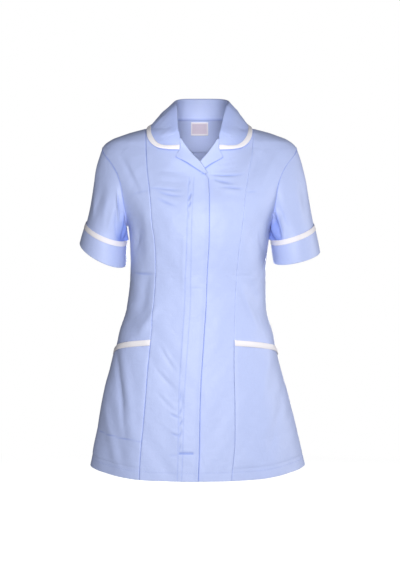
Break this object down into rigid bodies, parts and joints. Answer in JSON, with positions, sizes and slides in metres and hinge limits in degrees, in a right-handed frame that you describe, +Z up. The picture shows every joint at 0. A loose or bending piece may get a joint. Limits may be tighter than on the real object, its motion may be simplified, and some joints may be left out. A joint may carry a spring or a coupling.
{
  "type": "work tunic",
  "caption": "Short-sleeved work tunic with a rounded bound collar, small lapels, concealed front closing, seamed fitted body, hip pockets and turn-back cuffs, worn shape with no wearer.",
  "frame": {"origin": "between the two neck points, where the shoulder seams meet the collar, on the centre plane: there the wearer's shoulders hold it", "axes": "+Z up, -Y out of the front, +X to the wearer's left"},
  "size_m": [0.5033, 0.2901, 0.7727],
  "materials": {
    "blue_twill": "fine twill, soft satin sheen",
    "white_binding": "plain woven tape, matt",
    "satin_label": "woven satin, plain"
  },
  "bodies": {
    "root": {"back": "blue_twill", "back_neck_facing": "blue_twill", "label": "satin_label", "front_centre_right": "blue_twill", "front_side_right": "blue_twill", "lapel_facing_right": "blue_twill", "pocket_right": "blue_twill", "pocket_trim_right": "white_binding", "sleeve_right": "blue_twill", "cuff_right": "blue_twill", "cuff_trim_right": "white_binding", "front_centre_left": "blue_twill", "front_side_left": "blue_twill", "lapel_facing_left": "blue_twill", "pocket_left": "blue_twill", "pocket_trim_left": "white_binding", "sleeve_left": "blue_twill", "cuff_left": "blue_twill", "cuff_trim_left": "white_binding", "fly_strip": "blue_twill", "collar": "blue_twill", "collar_trim": "white_binding"}
  },
  "joints": []
}
